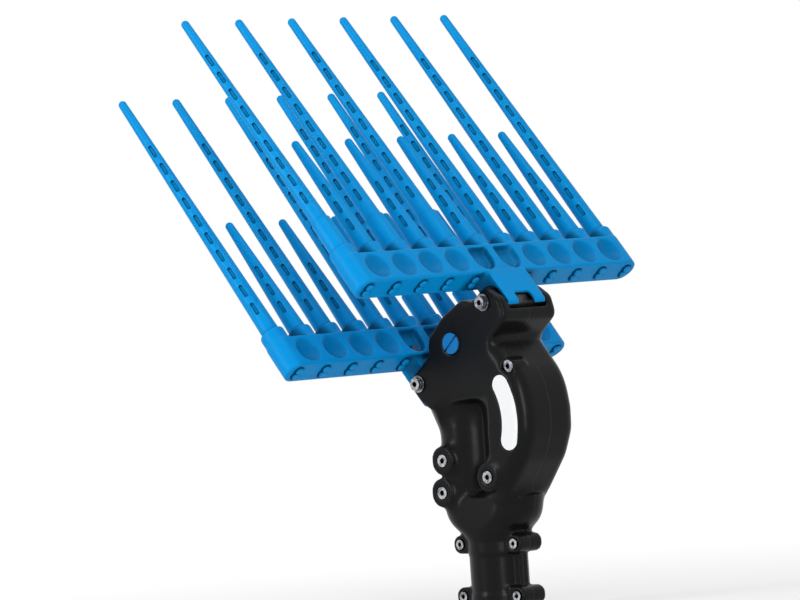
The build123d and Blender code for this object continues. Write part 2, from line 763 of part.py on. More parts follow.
def grease_plug():
    plug = rod_x(PLUG_R, -PLATE_HALF - PLUG_PROUD, -PLATE_HALF + PLUG_HIGH)
    slot = block((-PLUG_SLOT_DEEP, PLUG_SLOT_DEEP), (-PLUG_R, PLUG_R), (-PLUG_SLOT / 2, PLUG_SLOT / 2))
    plug -= Pos(-PLATE_HALF - PLUG_PROUD, 0, 0) * Rot(PLUG_SLOT_TURN, 0, 0) * slot
    groove = 2 * SEAL_R + HOLE_GAP
    middle = -PLATE_HALF + WALL / 2
    ring = rod_x(PLUG_R + 1, middle - groove / 2, middle + groove / 2)
    ring -= rod_x(PLUG_R + HOLE_GAP - groove, middle - groove, middle + groove)
    return Pos(0, CENTRE_Y, CENTRE_Z) * (plug - ring)


def plug_seal():
    """An O-ring in the plug's groove."""
    ring = Rot(0, 90, 0) * Torus(PLUG_R + HOLE_GAP - SEAL_R - FIT_GAP, SEAL_R)
    return Pos(-PLATE_HALF + WALL / 2, CENTRE_Y, CENTRE_Z) * ring


# Motor and crank, on the limb's upright axis

def upright(shape):
    return Pos(0, LIMB_Y, 0) * shape


def motor_case():
    inside = MOTOR_R - MOTOR_SHELL
    floor = LIMB_FLOOR + MOTOR_FLOOR
    case = rod_z(MOTOR_R, LIMB_FLOOR, MOTOR_HIGH) - rod_z(inside, floor, MOTOR_HIGH)
    case += rod_z(BEARING_R + MOTOR_FLOOR, LIMB_FLOOR, floor + BEARING_HIGH)
    case -= rod_z(BEARING_R, floor, floor + BEARING_HIGH)
    case = upright(case)
    for y, z in MOTOR_SCREWS:
        for side in (-1, 1):
            case -= rod_x(SCREW_R, *sorted((side * MOTOR_TAP, side * BOSS_HALF)), y, z)
    return case


def motor_cap():
    low = MOTOR_HIGH - CAP_HIGH
    cap = rod_z(MOTOR_R - MOTOR_SHELL, low, MOTOR_HIGH)
    cap -= rod_z(BEARING_R, low, low + BEARING_HIGH)
    cap -= rod_z(SHAFT_R + RUN_GAP, low, MOTOR_HIGH)
    return upright(cap)


def stator_slots(gap):
    """The wedges between the stator's teeth, as separate solids."""
    long = STATOR_HIGH - STATOR_LOW
    inner, outer = ROTOR_R + SLOT_LIP, MOTOR_R - MOTOR_SHELL - SLOT_BACK
    slot = block((inner + gap, outer - gap), (gap - SLOT_HALF, SLOT_HALF - gap), (0, long))
    return [upright(Rot(0, 0, turn) * Pos(0, 0, STATOR_LOW) * slot) for turn in range(0, 360, SLOT_STEP)]


def motor_stator():
    core = rod_z(MOTOR_R - MOTOR_SHELL, STATOR_LOW, STATOR_HIGH)
    core = upright(core - rod_z(ROTOR_R + STATOR_GAP, STATOR_LOW, STATOR_HIGH))
    for slot in stator_slots(0):
        core -= slot
    return core


def motor_bearings():
    low = LIMB_FLOOR + MOTOR_FLOOR
    pair = []
    for start in (low, MOTOR_HIGH - CAP_HIGH):
        ring = rod_z(BEARING_R, start, start + BEARING_HIGH)
        pair.append(upright(ring - rod_z(SHAFT_R + RUN_GAP, start, start + BEARING_HIGH)))
    return Compound(children=pair)


def motor_shaft():
    return upright(rod_z(SHAFT_R, LIMB_FLOOR + MOTOR_FLOOR + RUN_GAP, CRANK_TOP - 1))


def motor_rotor():
    low, high = STATOR_LOW + 1, STATOR_HIGH - 1
    return upright(rod_z(ROTOR_R, low, high) - rod_z(SHAFT_R, low, high))


def crank():
    """A disc on the motor shaft, with a stepped pin off its centre."""
    disc = rod_z(CRANK_R, CRANK_LOW, CRANK_TOP) - rod_z(SHAFT_R, CRANK_LOW, CRANK_TOP - 1)
    pin = rod_z(PIN_R + 1, CRANK_TOP - 1, ROLLER_LOW - RUN_GAP) + rod_z(PIN_R, CRANK_TOP, PIN_TOP)
    return upright(disc + Pos(CRANK_THROW, 0, 0) * pin)


def crank_roller():
    ring = rod_z(ROLLER_R, ROLLER_LOW, ROLLER_HIGH) - rod_z(PIN_R + RUN_GAP, ROLLER_LOW, ROLLER_HIGH)
    return upright(Pos(CRANK_THROW, 0, 0) * ring)


# Power lead from the pole to the motor

def lead_connector():
    """The two-pole inlet at the top of the pole socket."""
    body = rod_z(CABLE_R - HOLE_GAP, SOCKET_DEEP, NECK_TOP)
    body += rod_z(CABLE_R + WALL, NECK_TOP, NECK_TOP + INLET_FLANGE)
    for side in (-1, 1):
        body -= rod_z(CONTACT_R, SOCKET_DEEP, SOCKET_DEEP + WALL, x=side * 2 * CONTACT_R)
    return body


def motor_lead():
    across = LIMB_Y - FLOOR_HOLE_R + LEAD_R + WALL
    low = NECK_TOP + INLET_FLANGE
    path = FilletPolyline(
        (0, 0, low), (0, 0, LEAD_HIGH), (0, across, LEAD_HIGH), (0, across, LIMB_FLOOR), radius=LEAD_BEND
    )
    return sweep(Plane.XY.offset(low) * Circle(LEAD_R), path)


SHELL = housing()
save("left_housing", shell_half(SHELL, -1))
save("right_housing", shell_half(SHELL, 1))
save("side_inlay", side_inlay())
save("housing_screws", shell_screws())
save("clamp_screws", clamp_screws())
save("clamp_nuts", clamp_nuts())
save("grease_plug", grease_plug())
save("plug_seal", plug_seal())
save("pivot_screws", pivot_screws())
save("pivot_washers", pivot_washers())
save("front_axle", axle(*PIVOTS[0]))
save("rear_axle", axle(*PIVOTS[1]))
save("motor_case", motor_case())
save("motor_cap", motor_cap())
save("motor_stator", motor_stator())
save("motor_windings", Compound(children=stator_slots(HOLE_GAP)))
save("motor_bearings", motor_bearings())
save("motor_screws", motor_screws())
save("motor_shaft", motor_shaft())
save("motor_rotor", motor_rotor())
save("crank", crank())
save("crank_roller", crank_roller())
save("lead_connector", lead_connector())
save("motor_lead", motor_lead())
save("front_lever", lever(FRONT_LEVER, FRONT_COMB, FRONT_SEAT, FRONT_TEETH))
save("rear_lever", lever(REAR_LEVER, REAR_COMB, REAR_SEAT, REAR_TEETH, drive_fork()))
for side_name, lever_place, comb_place, seat in (
    ("front", FRONT_LEVER, FRONT_COMB, FRONT_SEAT),
    ("rear", REAR_LEVER, REAR_COMB, REAR_SEAT),
):
    save(f"{side_name}_bushes", lever_bushes(lever_place))
    save(f"{side_name}_comb_bar", comb_place * comb_bar(seat))
    save(f"{side_name}_comb_screws", comb_place * comb_screws(seat))
    for number in range(1, TINES + 1):
        save(f"{side_name}_tine_{number:02d}", comb_place * tine(number, seat))
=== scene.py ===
import json
from math import atan2, cos, hypot, pi, radians, sin

import bmesh
import bpy
from mathutils import Matrix, Vector
from mathutils.bvhtree import BVHTree


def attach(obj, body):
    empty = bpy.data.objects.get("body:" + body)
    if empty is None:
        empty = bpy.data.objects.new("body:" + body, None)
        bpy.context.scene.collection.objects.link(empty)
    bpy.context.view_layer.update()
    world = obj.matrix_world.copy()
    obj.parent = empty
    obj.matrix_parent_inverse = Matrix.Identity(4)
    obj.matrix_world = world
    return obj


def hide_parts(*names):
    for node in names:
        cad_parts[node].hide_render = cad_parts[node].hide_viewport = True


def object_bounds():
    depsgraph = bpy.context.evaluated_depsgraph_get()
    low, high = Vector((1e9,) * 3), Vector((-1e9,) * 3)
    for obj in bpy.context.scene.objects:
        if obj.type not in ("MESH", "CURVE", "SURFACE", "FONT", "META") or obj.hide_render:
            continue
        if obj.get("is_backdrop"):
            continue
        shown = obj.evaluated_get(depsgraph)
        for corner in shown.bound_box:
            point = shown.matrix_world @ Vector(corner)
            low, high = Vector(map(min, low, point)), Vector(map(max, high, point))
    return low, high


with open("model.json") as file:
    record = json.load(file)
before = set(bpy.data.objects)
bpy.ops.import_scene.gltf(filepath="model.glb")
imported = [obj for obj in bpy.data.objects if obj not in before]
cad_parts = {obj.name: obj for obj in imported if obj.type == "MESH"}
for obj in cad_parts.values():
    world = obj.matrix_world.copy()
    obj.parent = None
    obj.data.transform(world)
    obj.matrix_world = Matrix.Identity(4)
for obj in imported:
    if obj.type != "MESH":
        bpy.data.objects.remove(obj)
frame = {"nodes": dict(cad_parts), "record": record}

bl_info = {
    "name": "Olive Harvester Head",
    "version": (1, 0, 0),
    "blender": (4, 5, 0),
    "location": "View3D > Sidebar > Harvester",
    "description": "Dresses the packed olive harvester head and sets up its studio",
    "category": "Object",
}

NODES = frame["nodes"]
BODY_OF = {node: body for body, nodes in frame["record"]["behaviour"]["bodies"].items() for node in nodes}
SIDES = ("front", "rear")
TINES = range(1, 12)
# The housing halves, and the side of the middle plane that each is on
HALVES = (("left_housing", -1.0), ("right_housing", 1.0))

# Lengths here are in metres. Points closer than this are one point, and faces this near x = 0 are on the middle
# plane
MERGE = 0.00001
# How near the middle plane a point is on the cut between the halves
CUT_NEAR = 0.000001
# Smoothing passes in each round of a blend, and how far each pass moves a point
BLEND_PASSES = 8
PASS_SHARE = 0.5
# Looking out sideways from a face: where the look starts, and how much it leans along the face's normal
LOOK_START = 0.001
LOOK_LEAN = 0.5
# How far x is from the middle plane in the corners round a comb's bracket
BRACKET_X = (0.02, 0.036)

# Top of the pole clamp, which keeps its edges
CLAMP_TOP = 0.066
# The heel, where the back of the deep body runs into the bowl: its front, its heights and how far its faces may
# lean forward
HEEL_Y = -0.036
HEEL_Z = (0.086, 0.118)
HEEL_FACING = 0.1
# The motor limb's axis and outside, and the sum of x and y on the sloping wall of the groove beside it
LIMB_Y = 0.023
LIMB_SKIN = 0.0244
GROOVE_WALL = 0.003
# The groove between the motor limb and the deep body: how far out it starts, its range of y and its heights
GROOVE_X = 0.0045
GROOVE_Y = (-0.036, 0.012)
GROOVE_Z = (0.098, 0.18)
# The brow, where the plates run down into the motor limb, in the same order
BROW_X = 0.012
BROW_Y = (-0.03, 0.032)
BROW_Z = (0.16, 0.188)
# Places across the housing that stay crisp, for the screws and the plug, as y, z and radius
CRISP = (
    (-0.053, 0.2095, 0.0085),
    (-0.0252, 0.1169, 0.0075),
    (0.0302, 0.1318, 0.0075),
    (0.0328, 0.1045, 0.0075),
    (0.0077, 0.2312, 0.011),
)
# Extra room round those places in the groove and the brow
CRISP_ROOM = 0.004
# Middle line of the inlay on the left side: its centre's y and z, radius, end angles and half width
INLAY_MIDDLE = Vector((0.0064, 0.164))
INLAY_RADIUS = 0.06
INLAY_ENDS = (radians(150.0), radians(196.0))
INLAY_HALF = 0.0085
# Room round the inlay that stays crisp
INLAY_ROOM = 0.004

# Moulded plastic: sizes of the clouds and of the rubbed spots on the pale edges, which are partly wear and
# partly a painted highlight, how sharp such an edge is, and the grain's height
CLOUD_SCALE = 28.0
RUB_AND_SHEEN_SCALE = 160.0
RUB_AND_SHEEN_EDGE = (0.53, 0.62)
GRAIN_HEIGHT = 0.0002
# Metal: how the scratches are stretched, their size and height, the dull patches' size and range, and the reach
# and range of the shade painted into corners
SCRATCH_STRETCH = (4.0, 1.0, 0.3)
SCRATCH_SCALE = 900.0
SCRATCH_HEIGHT = 0.0001
PATCH_SCALE = 320.0
PATCH_RANGE = (0.36, 0.62)
CORNER_SHADE_REACH = 0.004
CORNER_SHADE_RANGE = (0.45, 0.97)
# Height of the bands on stacked sheets and windings
BAND_HEIGHT = 0.0003

# What the lamps point at
AIM = Vector((0.0, 0.05, 0.28))
# Each lamp's place from there, to the picture's right, away from the camera and up, and its width and height
LAMPS = {
    "key_lamp": ((-2.2, -0.95, 0.6), (0.25, 1.8)),
    "top_lamp": ((0.0, -0.3, 2.2), (1.6, 1.6)),
    "fill_lamp": ((0.45, -2.3, 0.35), (0.25, 1.6)),
}
# Room between the part's lowest point and the floor
FLOOR_ROOM = 0.0005
# Distance from the origin at which the floor's shading starts to fade
FADE_START = 0.1
FLOOR_GREY = (0.9, 0.9, 0.9, 1.0)
WHITE = (1.0, 1.0, 1.0, 1.0)


class HarvesterColours(bpy.types.PropertyGroup):
    """Colours of the harvester's finishes."""

    comb_blue: bpy.props.FloatVectorProperty(
        name="Comb Blue", description="Moulded nylon of the bars and tines", subtype="COLOR", size=3,
        default=(0.001, 0.28, 0.68), min=0.0, max=1.0,
    )
    plug_blue: bpy.props.FloatVectorProperty(
        name="Plug Blue", description="Grease plug on the left plate", subtype="COLOR", size=3,
        default=(0.004, 0.16, 0.44), min=0.0, max=1.0,
    )
    housing_black: bpy.props.FloatVectorProperty(
        name="Housing Black", description="Glass-filled nylon of the two housing halves", subtype="COLOR",
        size=3, default=(0.0058, 0.006, 0.0066), min=0.0, max=1.0,
    )
    inlay_white: bpy.props.FloatVectorProperty(
        name="Inlay White", description="Plain inlay on the left side", subtype="COLOR", size=3,
        default=(0.86, 0.86, 0.86), min=0.0, max=1.0,
    )
    zinc: bpy.props.FloatVectorProperty(
        name="Zinc Plate", description="Bright plating on the screws, washers and nuts", subtype="COLOR",
        size=3, default=(0.5, 0.51, 0.53), min=0.0, max=1.0,
    )
    ground_steel: bpy.props.FloatVectorProperty(
        name="Ground Steel", description="Axles, shaft, crank and bearings", subtype="COLOR", size=3,
        default=(0.45, 0.45, 0.46), min=0.0, max=1.0,
    )
    lever_grey: bpy.props.FloatVectorProperty(
        name="Lever Grey", description="Dark cast metal of the two levers", subtype="COLOR", size=3,
        default=(0.09, 0.09, 0.095), min=0.0, max=1.0,
    )
    cast_alloy: bpy.props.FloatVectorProperty(
        name="Cast Alloy", description="Motor case and its cap", subtype="COLOR", size=3,
        default=(0.42, 0.43, 0.44), min=0.0, max=1.0,
    )
    bronze: bpy.props.FloatVectorProperty(
        name="Bronze", description="Sintered bushes in the lever hubs", subtype="COLOR", size=3,
        default=(0.5, 0.3, 0.12), min=0.0, max=1.0,
    )
    copper: bpy.props.FloatVectorProperty(
        name="Copper", description="Windings in the stator slots", subtype="COLOR", size=3,
        default=(0.55, 0.2, 0.08), min=0.0, max=1.0,
    )
    lamination: bpy.props.FloatVectorProperty(
        name="Lamination", description="Sheet steel of the stator and rotor, and the screws in the combs",
        subtype="COLOR", size=3, default=(0.1, 0.1, 0.105), min=0.0, max=1.0,
    )
    rubber: bpy.props.FloatVectorProperty(
        name="Rubber", description="Seal and lead", subtype="COLOR", size=3,
        default=(0.012, 0.012, 0.012), min=0.0, max=1.0,
    )


class HarvesterSizes(bpy.types.PropertyGroup):
    """Sizes of the moulded skins."""

    housing_voxel: bpy.props.FloatProperty(
        name="Housing Voxel", description="Mesh step of the moulded housing halves", unit="LENGTH",
        default=0.0013, min=0.0005, max=0.005,
    )
    housing_smooth: bpy.props.IntProperty(
        name="Housing Smoothing", description="Smoothing passes over the housing above the clamp",
        default=5, min=0, max=60,
    )
    housing_blend: bpy.props.IntProperty(
        name="Housing Blend", description="Rounds of smoothing in the housing's inside corners",
        default=8, min=0, max=40,
    )
    groove_blend: bpy.props.IntProperty(
        name="Groove Blend", description="Rounds of smoothing in the groove beside the motor limb",
        default=20, min=0, max=120,
    )
    heel_blend: bpy.props.IntProperty(
        name="Heel Blend", description="Rounds of smoothing where the deep body meets the bowl",
        default=20, min=0, max=80,
    )
    brow_smooth: bpy.props.IntProperty(
        name="Brow Smoothing", description="Smoothing passes where the plates meet the motor limb",
        default=40, min=0, max=200,
    )
    bar_voxel: bpy.props.FloatProperty(
        name="Bar Voxel", description="Mesh step of the moulded comb bars", unit="LENGTH",
        default=0.001, min=0.0004, max=0.005,
    )
    bar_smooth: bpy.props.IntProperty(
        name="Bar Smoothing", description="Smoothing passes that round the comb bars' edges",
        default=3, min=0, max=20,
    )
    bar_share: bpy.props.FloatProperty(
        name="Bar Share", description="Share of the comb bars' faces that is kept", subtype="FACTOR",
        default=0.92, min=0.1, max=1.0,
    )
    bracket_blend: bpy.props.IntProperty(
        name="Bracket Blend", description="Rounds of smoothing in the corners round a comb's bracket",
        default=6, min=0, max=40,
    )


class HarvesterStage(bpy.types.PropertyGroup):
    """Camera, floor and lights."""

    camera_place: bpy.props.FloatVectorProperty(
        name="Camera Place", description="Where the camera stands", subtype="TRANSLATION", unit="LENGTH",
        size=3, default=(-3.38177, -3.17239, 0.30056),
    )
    camera_forward: bpy.props.FloatVectorProperty(
        name="Camera Forward", description="The way the camera looks", subtype="DIRECTION", size=3,
        default=(0.71910, 0.69488, -0.00642),
    )
    camera_up: bpy.props.FloatVectorProperty(
        name="Camera Up", description="The way the top of the picture points", subtype="DIRECTION", size=3,
        default=(0.05291, -0.04554, 0.99756),
    )
    lens: bpy.props.FloatProperty(
        name="Lens", description="Focal length in millimetres on a 36 mm sensor", default=245.4, min=1.0,
        max=1000.0,
    )
    floor_half: bpy.props.FloatProperty(
        name="Floor Half", description="Half the floor's width", unit="LENGTH", default=60.0, min=1.0,
        max=200.0,
    )
    floor_shadow: bpy.props.FloatProperty(
        name="Floor Shadow", description="How much of the floor's own shading the camera sees",
        subtype="FACTOR", default=0.35, min=0.0, max=1.0,
    )
    floor_fade: bpy.props.FloatProperty(
        name="Floor Fade", description="Distance at which the floor is plain white", unit="LENGTH",
        default=0.9, min=0.1, max=20.0,
    )
    sky: bpy.props.FloatProperty(
        name="Sky Strength", description="Strength of the even light all round", default=0.22, min=0.0,
        max=2.0,
    )
    key: bpy.props.FloatProperty(
        name="Key Power", description="Power of the tall lamp on the left", subtype="POWER", unit="POWER",
        default=27.0, min=0.0, max=1000.0,
    )
    top: bpy.props.FloatProperty(
        name="Top Power", description="Power of the lamp overhead", subtype="POWER", unit="POWER",
        default=20.0, min=0.0, max=1000.0,
    )
    fill: bpy.props.FloatProperty(
        name="Fill Power", description="Power of the tall lamp beside the camera", subtype="POWER",
        unit="POWER", default=27.0, min=0.0, max=1000.0,
    )


class Wire:
    """A socket in a shader that maths can be written on."""

    def __init__(self, tree, socket=None):
        self.tree = tree
        self.socket = socket

    def node(self, kind, settings=None, values=None, out=0):
        """Adds a node: its settings first, then the values or links of its inputs. Returns one output."""
        made = self.tree.nodes.new(kind)
        for key, value in (settings or {}).items():
            if key == "stops":
                for element, (place, shade) in zip(made.color_ramp.elements, value):
                    element.position = place
                    element.color = (shade, shade, shade, 1.0)
            else:
                setattr(made, key, value)
        for key, value in (values or {}).items():
            if isinstance(value, Wire):
                self.tree.links.new(value.socket, made.inputs[key])
            else:
                made.inputs[key].default_value = value
        return Wire(self.tree, made.outputs[out])

    def maths(self, operation, first, second):
        return self.node("ShaderNodeMath", {"operation": operation}, {0: first, 1: second})

    def __add__(self, other):
        return self.maths("ADD", self, other)

    def __radd__(self, other):
        return self.maths("ADD", other, self)

    def __sub__(self, other):
        return self.maths("SUBTRACT", self, other)

    def __rsub__(self, other):
        return self.maths("SUBTRACT", other, self)

    def __mul__(self, other):
        return self.maths("MULTIPLY", self, other)

    def __rmul__(self, other):
        return self.maths("MULTIPLY", other, self)


def new_material(name):
    """A material with its tree's first wire, its shader and its Object coordinates."""
    material = bpy.data.materials.new(name)
    material.use_nodes = True
    tree = material.node_tree
    shader = tree.nodes["Principled BSDF"]
    start = Wire(tree)
    return material, start, shader, start.node("ShaderNodeTexCoord", out="Object")


def feed(wire, shader, name):
    wire.tree.links.new(wire.socket, shader.inputs[name])


def shade_of(colour, scale):
    """A colour made darker or paler, with its alpha."""
    return (*(channel * scale for channel in colour), 1.0)


def noise(start, place, scale, detail=3.0):
    return start.node("ShaderNodeTexNoise", values={"Vector": place, "Scale": scale, "Detail": detail})


def ramp(start, value, low, high):
    """Nought below the low value, one above the high one and an even rise between."""
    return start.node("ShaderNodeValToRGB", {"stops": [(low, 0.0), (high, 1.0)]}, {"Fac": value})


def mix(start, share, first, second):
    """The first colour where the share is nought, and the second where it is one."""
    return start.node("ShaderNodeMix", {"data_type": "RGBA"}, {0: share, 6: first, 7: second}, out=2)


def openness(start, reach, samples):
    """One on open faces, and less in hollows within reach of other faces; the materials use it to paint shade
    into hollows and corners.
    """
    return start.node("ShaderNodeAmbientOcclusion", {"samples": samples}, {"Distance": reach}, out="AO")


def bump(start, strength, distance, height):
    return start.node("ShaderNodeBump", values={"Strength": strength, "Distance": distance, "Height": height})


def moulded(
    name, colour, rough, grain, depth, spread=0.12, wear_and_sheen=0.35, shine=0.2, hollow_shade=0.0, reach=0.01,
    open_from=0.55, open_to=0.93,
):
    """Moulded plastic: cloudy colour, fine grain, paler edges that are partly rubbed wear and partly a painted
    highlight, and painted shade darkening the hollows.
    """
    material, start, shader, place = new_material(name)
    cloud = noise(start, place, CLOUD_SCALE)
    tint = mix(start, cloud, shade_of(colour, 1.0 - spread), shade_of(colour, 1.0 + spread))
    dull = rough + (cloud - 0.5) * 0.12
    # Paler edges where the mesh is pointy: partly rubbed wear, partly a painted highlight along the edges
    if wear_and_sheen > 0.0:
        edge = start.node("ShaderNodeNewGeometry", out="Pointiness")
        rub_and_sheen = noise(start, place, RUB_AND_SHEEN_SCALE, 5.0) * wear_and_sheen * ramp(start, edge, *RUB_AND_SHEEN_EDGE)
        pale = tuple(0.75 * channel + 0.06 for channel in colour)
        tint = mix(start, rub_and_sheen, tint, (*pale, 1.0))
        dull = dull - rub_and_sheen * 0.1
    # Painted shade: the base colour darkens in hollows near other faces
    if hollow_shade > 0.0:
        share = ramp(start, openness(start, reach, 12), open_from, open_to)
        tint = mix(start, share, shade_of(colour, 1.0 - hollow_shade), tint)
    feed(tint, shader, "Base Color")
    feed(dull, shader, "Roughness")
    feed(bump(start, depth, GRAIN_HEIGHT, noise(start, place, grain, 2.0)), shader, "Normal")
    shader.inputs["Specular IOR Level"].default_value = shine
    return material


def plated(name, colour, rough, scratch=0.08, blotch=0.3):
    """Bright plate or ground metal with fine scratches, dull patches and painted shade darkening the corners.
    """
    material, start, shader, place = new_material(name)
    stretched = start.node("ShaderNodeMapping", values={"Vector": place, "Scale": SCRATCH_STRETCH})
    lines = noise(start, stretched, SCRATCH_SCALE, 4.0)
    patch = noise(start, place, PATCH_SCALE)
    bright = ramp(start, patch, *PATCH_RANGE) * blotch + (1.0 - blotch)
    # Painted shade: the base colour darkens in corners near other faces
    clear = ramp(start, openness(start, CORNER_SHADE_REACH, 8), *CORNER_SHADE_RANGE)
    feed(mix(start, clear * bright, shade_of(colour, 0.05), shade_of(colour, 1.1)), shader, "Base Color")
    feed(rough + (lines - 0.5) * 0.14 + (patch - 0.5) * 0.1, shader, "Roughness")
    feed(bump(start, scratch, SCRATCH_HEIGHT, lines), shader, "Normal")
    shader.inputs["Metallic"].default_value = 1.0
    return material


def banded(name, colour, step):
    """Stacked sheets or wound wire: fine bands across Z."""
    material, start, shader, place = new_material(name)
    bands = start.node(
        "ShaderNodeTexWave", {"bands_direction": "Z"}, {"Vector": place, "Scale": step, "Distortion": 0.4},
        out="Fac",
    )
    feed(mix(start, bands, shade_of(colour, 0.7), shade_of(colour, 1.1)), shader, "Base Color")
    feed(0.5 - bands * 0.15, shader, "Roughness")
    feed(bump(start, 0.3, BAND_HEIGHT, bands), shader, "Normal")
    shader.inputs["Metallic"].default_value = 0.8
    return material


def paint(material, *names):
    """Gives CAD nodes one material."""
    for name in names:
        slots = NODES[name].data.materials
        slots.clear()
        slots.append(material)


def skin_over(nodes, voxel):
    """One closed skin of even steps over some CAD nodes, without the faces they share on the middle plane."""
    source = bmesh.new()
    for node in nodes:
        source.from_mesh(NODES[node].data)
    if len(nodes) > 1:
        shared = [face for face in source.faces if all(abs(vert.co.x) < MERGE for vert in face.verts)]
        bmesh.ops.delete(source, geom=shared, context="FACES")
    bmesh.ops.remove_doubles(source, verts=source.verts, dist=MERGE)
    mesh = bpy.data.meshes.new("skin")
    source.to_mesh(mesh)
    source.free()
    piece = bpy.data.objects.new("skin", mesh)
    bpy.context.scene.collection.objects.link(piece)
    remesh = piece.modifiers.new("Skin", "REMESH")
    remesh.mode = "VOXEL"
    remesh.voxel_size = voxel
    bpy.context.view_layer.update()
    skin = bpy.data.meshes.new_from_object(piece.evaluated_get(bpy.context.evaluated_depsgraph_get()))
    shape = bmesh.new()
    shape.from_mesh(skin)
    bpy.data.objects.remove(piece)
    bpy.data.meshes.remove(mesh)
    bpy.data.meshes.remove(skin)
    return shape


def smooth(shape, verts, passes):
    for _ in range(passes):
        bmesh.ops.smooth_vert(
            shape, verts=verts, factor=PASS_SHARE, use_axis_x=True, use_axis_y=True, use_axis_z=True,
        )


def is_hollow(vert):
    """True where the mesh bends towards its outside, as in an inside corner."""
    near = [edge.other_vert(vert).co for edge in vert.link_edges]
    middle = sum(near, Vector()) / len(near)
    return (middle - vert.co).dot(vert.normal) > 0.0


def blend(shape, verts, rounds):
    """Fills inside corners with a soft radius that grows with the rounds."""
    for _ in range(rounds):
        shape.normal_update()
        smooth(shape, [vert for vert in verts if is_hollow(vert)], BLEND_PASSES)


def seen_from_side(shape):
    """The vertices that look out past the rest of the shape towards their own side."""
    shape.normal_update()
    tree = BVHTree.FromBMesh(shape)
    seen = []
    for vert in shape.verts:
        way = vert.normal * LOOK_LEAN + Vector((1.0 if vert.co.x > 0.0 else -1.0, 0.0, 0.0))
        if tree.ray_cast(vert.co + vert.normal * LOOK_START, way.normalized())[0] is None:
            seen.append(vert)
    return seen


def half_of(shape, side):
    """The part of a shape on one side of the middle plane, closed at the cut."""
    half = shape.copy()
    cut = bmesh.ops.bisect_plane(
        half, geom=[*half.verts, *half.edges, *half.faces], dist=CUT_NEAR, plane_co=(0.0, 0.0, 0.0),
        plane_no=(side, 0.0, 0.0), clear_inner=True,
    )
    edges = [part for part in cut["geom_cut"] if isinstance(part, bmesh.types.BMEdge)]
    bmesh.ops.triangle_fill(half, edges=edges, use_beauty=True, normal=(-side, 0.0, 0.0))
    return half


def piece_from(shape, node, material):
    """Makes an object of a shape in place of a CAD node."""
    for face in shape.faces:
        face.smooth = True
    mesh = bpy.data.meshes.new(f"{node}_skin")
    shape.to_mesh(mesh)
    shape.free()
    piece = bpy.data.objects.new(f"{node}_skin", mesh)
    bpy.context.scene.collection.objects.link(piece)
    mesh.materials.append(material)
    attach(piece, BODY_OF[node])
    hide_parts(node)
    return piece


def within(value, limits):
    return limits[0] < value < limits[1]


class HARVESTER_OT_housing(bpy.types.Operator):
    """Makes the moulded skins of the two housing halves and finishes the inlay"""

    bl_idname = "harvester.housing"
    bl_label = "Housing Halves"

    def execute(self, context):
        sizes = context.scene.harvester_sizes
        colours = context.scene.harvester_colours
        # Painted shade in the housing's inside corners, and a painted highlight on its edges as well as edge
        # wear
        black = moulded(
            "housing_black", colours.housing_black, rough=0.29, grain=1800.0, depth=0.08, wear_and_sheen=0.12, shine=0.1,
            hollow_shade=0.2, reach=0.008,
        )
        white = moulded(
            "inlay_white", colours.inlay_white, rough=0.45, grain=1500.0, depth=0.03, spread=0.01, wear_and_sheen=0.0,
        )
        paint(white, "side_inlay")
        shape = skin_over([node for node, _ in HALVES], sizes.housing_voxel)
        smooth(shape, shape.verts, 1)
        smooth(shape, [vert for vert in shape.verts if vert.co.z > CLAMP_TOP], sizes.housing_smooth)
        soft = [vert for vert in seen_from_side(shape) if self.is_soft(vert.co)]
        blend(shape, soft, sizes.housing_blend)
        blend(shape, [vert for vert in shape.verts if self.is_heel(vert)], sizes.heel_blend)
        blend(shape, [vert for vert in shape.verts if self.is_groove(vert.co)], sizes.groove_blend)
        smooth(shape, [vert for vert in shape.verts if self.is_brow(vert.co)], sizes.brow_smooth)
        for node, side in HALVES:
            piece_from(half_of(shape, side), node, black)
        shape.free()
        return {"FINISHED"}

    def is_soft(self, place):
        """True above the clamp and away from the screws, the plug and the inlay."""
        if place.z <= CLAMP_TOP or self.near_screw(place):
            return False
        return self.inlay_distance(place) > INLAY_ROOM

    def is_heel(self, vert):
        """True on the outside where the back of the deep body runs into the bowl."""
        return within(vert.co.z, HEEL_Z) and vert.co.y < HEEL_Y and vert.normal.y < HEEL_FACING

    def is_groove(self, place):
        """True on the outside of the groove between the motor limb and the deep body behind it."""
        inside = within(place.y, GROOVE_Y) and within(place.z, GROOVE_Z) and abs(place.x) > GROOVE_X
        return inside and self.outside_limb(place) and not self.near_screw(place, CRISP_ROOM)

    def is_brow(self, place):
        """True on the outside where the plates run down into the motor limb."""
        inside = within(place.y, BROW_Y) and within(place.z, BROW_Z) and abs(place.x) > BROW_X
        return inside and self.outside_limb(place) and not self.near_screw(place, CRISP_ROOM)

    def outside_limb(self, place):
        """True outside the motor limb and in front of the groove's sloping wall."""
        return hypot(place.x, place.y - LIMB_Y) > LIMB_SKIN and abs(place.x) + place.y > GROOVE_WALL

    def near_screw(self, place, more=0.0):
        """True beside a screw or the plug, seen from the side."""
        return any(hypot(place.y - y, place.z - z) < radius + more for y, z, radius in CRISP)

    def inlay_distance(self, place):
        """How far a place is from the inlay's edge, seen from the side."""
        arm = Vector((place.y, place.z)) - INLAY_MIDDLE
        turn = min(max(atan2(arm.y, arm.x) % (2.0 * pi), INLAY_ENDS[0]), INLAY_ENDS[1])
        return (arm - Vector((cos(turn), sin(turn))) * INLAY_RADIUS).length - INLAY_HALF


